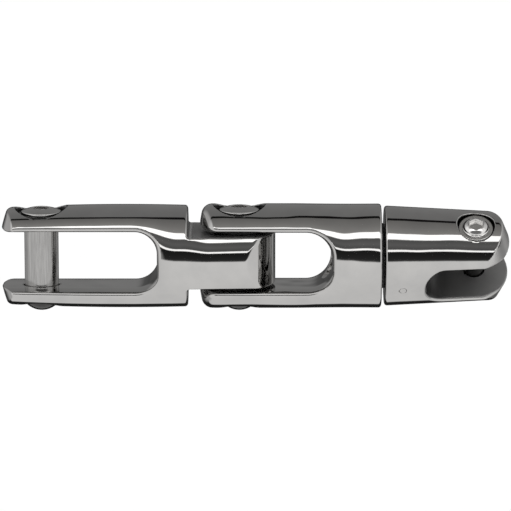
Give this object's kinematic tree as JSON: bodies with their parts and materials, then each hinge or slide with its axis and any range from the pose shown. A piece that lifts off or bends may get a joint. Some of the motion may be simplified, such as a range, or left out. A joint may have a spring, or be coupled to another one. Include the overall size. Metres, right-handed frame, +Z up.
{
  "type": "anchor swivel",
  "caption": "Polished stainless anchor swivel: a forked anchor link pinned to a forked middle link, which carries a swivelling slotted chain jaw with a socket-screw pin.",
  "frame": {"origin": "middle of the anchor pin, on the swivel axis, where the anchor's shank hangs", "axes": "+X along the swivel axis towards the chain jaw, +Z up along the anchor pin and the joint pin, on their socket-screw side"},
  "size_m": [0.1559, 0.032, 0.0331],
  "materials": {
    "mirror_steel": "mirror polished stainless steel with fine handling marks",
    "satin_steel": "turned stainless steel, satin",
    "screw_steel": "polished stainless screw and washer",
    "bearing_bronze": "plain bearing bronze",
    "dark_polymer": "dark low-friction washer"
  },
  "bodies": {
    "anchor": {"anchor_link": "mirror_steel", "anchor_pin": "satin_steel", "anchor_pin_washer": "screw_steel", "anchor_pin_screw": "screw_steel", "tang_bush": "bearing_bronze"},
    "middle": {"middle_link": "mirror_steel", "joint_pin": "satin_steel", "joint_pin_washer": "screw_steel", "joint_pin_screw": "screw_steel", "joint_washer_upper": "dark_polymer", "joint_washer_lower": "dark_polymer", "stud_bush": "bearing_bronze", "stud_head_washer": "bearing_bronze", "swivel_face_washer": "dark_polymer"},
    "jaw": {"chain_jaw": "mirror_steel", "chain_pin": "satin_steel", "chain_pin_washer": "screw_steel", "chain_pin_screw": "screw_steel", "swivel_stud": "satin_steel", "stud_lock_pin": "satin_steel"}
  },
  "joints": [
    {"name": "link_hinge", "type": "hinge", "parent": "anchor", "child": "middle", "pos_m": [0.0608, 0, 0], "axis": [0, 0, 1], "range_deg": [-90, 90]},
    {"name": "jaw_swivel", "type": "hinge", "parent": "middle", "child": "jaw", "pos_m": [0.1053, 0, 0], "axis": [1, 0, 0], "continuous": true}
  ]
}
